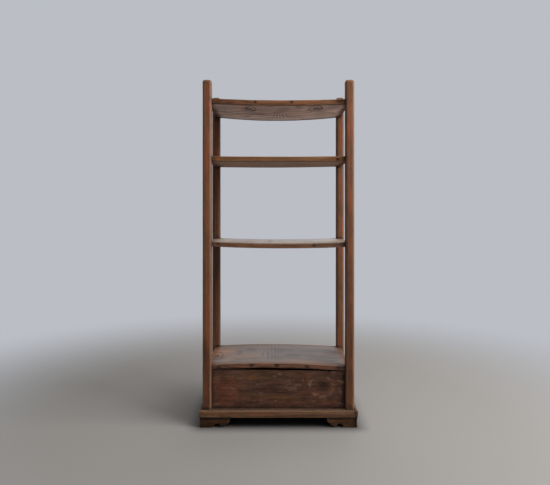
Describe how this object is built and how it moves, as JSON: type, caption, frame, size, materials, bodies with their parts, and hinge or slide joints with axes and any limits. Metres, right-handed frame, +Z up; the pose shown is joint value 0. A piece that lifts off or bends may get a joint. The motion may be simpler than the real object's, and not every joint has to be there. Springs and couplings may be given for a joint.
{
  "type": "utensil shelf",
  "caption": "Tall open wooden utensil shelf with slender rounded posts, bowed plank shelves, a closed panelled base, a plinth moulding and cusped bracket feet.",
  "frame": {"origin": "on the floor, under the middle of the shelf's bounding box", "axes": "+Z up, the front faces -Y, +X to the right as seen from the front"},
  "size_m": [0.558, 0.3406, 1.225],
  "materials": {
    "post_wood": "worn red-brown stain, dry, satin",
    "shelf_wood": "weathered grey faces, browner worn edges, matte",
    "panel_wood": "dark brown stain with pale scuffs, matte",
    "plinth_wood": "worn brown stain, matte",
    "foot_wood": "dark brown, worn, matte",
    "peg_wood": "dark end grain, matte"
  },
  "bodies": {
    "root": {"post_front_left": "post_wood", "post_front_right": "post_wood", "post_back_left": "post_wood", "post_back_right": "post_wood", "shelf_base": "shelf_wood", "shelf_middle": "shelf_wood", "shelf_upper": "shelf_wood", "shelf_top": "shelf_wood", "base_panel_front": "panel_wood", "base_panel_back": "panel_wood", "base_panel_left": "panel_wood", "base_panel_right": "panel_wood", "base_floor": "panel_wood", "base_rail_front": "plinth_wood", "base_rail_back": "plinth_wood", "base_rail_left": "plinth_wood", "base_rail_right": "plinth_wood", "plinth_front": "plinth_wood", "plinth_back": "plinth_wood", "plinth_left": "plinth_wood", "plinth_right": "plinth_wood", "bracket_front_left": "foot_wood", "bracket_front_right": "foot_wood", "bracket_back_left": "foot_wood", "bracket_back_right": "foot_wood", "bracket_side_front_left": "foot_wood", "bracket_side_front_right": "foot_wood", "bracket_side_back_left": "foot_wood", "bracket_side_back_right": "foot_wood", "peg_shelf_base_front_left": "peg_wood", "peg_shelf_base_front_right": "peg_wood", "peg_shelf_base_back_left": "peg_wood", "peg_shelf_base_back_right": "peg_wood", "peg_shelf_middle_front_left": "peg_wood", "peg_shelf_middle_front_right": "peg_wood", "peg_shelf_middle_back_left": "peg_wood", "peg_shelf_middle_back_right": "peg_wood", "peg_shelf_upper_front_left": "peg_wood", "peg_shelf_upper_front_right": "peg_wood", "peg_shelf_upper_back_left": "peg_wood", "peg_shelf_upper_back_right": "peg_wood", "peg_shelf_top_front_left": "peg_wood", "peg_shelf_top_front_right": "peg_wood", "peg_shelf_top_back_left": "peg_wood", "peg_shelf_top_back_right": "peg_wood"}
  },
  "joints": []
}
